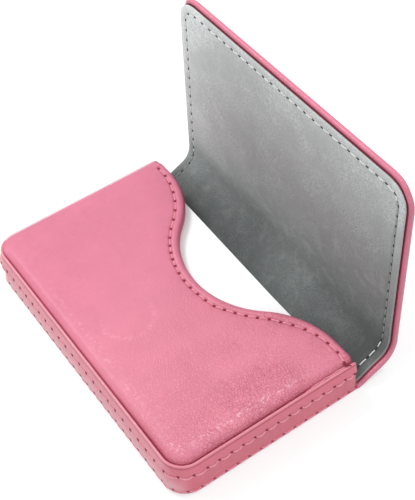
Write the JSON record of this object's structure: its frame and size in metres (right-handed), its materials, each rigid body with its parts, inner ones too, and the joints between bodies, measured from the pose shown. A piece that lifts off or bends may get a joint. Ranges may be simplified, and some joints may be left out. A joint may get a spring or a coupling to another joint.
{
  "type": "business card case",
  "caption": "Hard leatherette pocket case for business cards, with a padded thumb-notched front and a wrap-round magnetic flap standing open.",
  "frame": {"origin": "centre of the case's floor plan on its flat back face, which it lies on; the open cover is not counted", "axes": "+X along the long side, +Y out of the pocket's mouth, +Z from the back face up through the front panel"},
  "size_m": [0.1, 0.075, 0.071],
  "materials": {
    "leatherette": "satin",
    "microsuede": "matte",
    "greyboard": "matte",
    "foam": "matte",
    "steel": "satin",
    "card": "matte"
  },
  "bodies": {
    "case": {"back_skin": "leatherette", "back_board": "greyboard", "back_lining": "microsuede", "mouth_crease": "leatherette", "band_board": "greyboard", "band_lining": "microsuede", "band_skin": "leatherette", "rim_strip": "leatherette", "front_lining": "microsuede", "front_board": "greyboard", "front_padding": "foam", "front_skin": "leatherette", "front_magnet": "steel"},
    "spine": {"spine_skin": "leatherette", "spine_board": "greyboard", "spine_lining": "microsuede", "flap_crease": "leatherette"},
    "flap": {"flap_skin": "leatherette", "flap_board": "greyboard", "flap_magnet": "steel", "flap_lining": "microsuede"},
    "cards": {"card_deck": "card", "top_card": "card"}
  },
  "joints": [
    {"name": "spine_fold", "type": "hinge", "parent": "case", "child": "spine", "pos_m": [0, 0.031, 0.0013], "axis": [1, 0, 0], "range_deg": [-31, 59]},
    {"name": "flap_fold", "type": "hinge", "parent": "spine", "child": "flap", "pos_m": [0, 0.04257, 0.00825], "axis": [1, 0, 0], "range_deg": [-58, 32]},
    {"name": "cards_slide", "type": "slide", "parent": "case", "child": "cards", "axis": [0, 1, 0], "range_m": [-0.0023, 0.0023]}
  ]
}
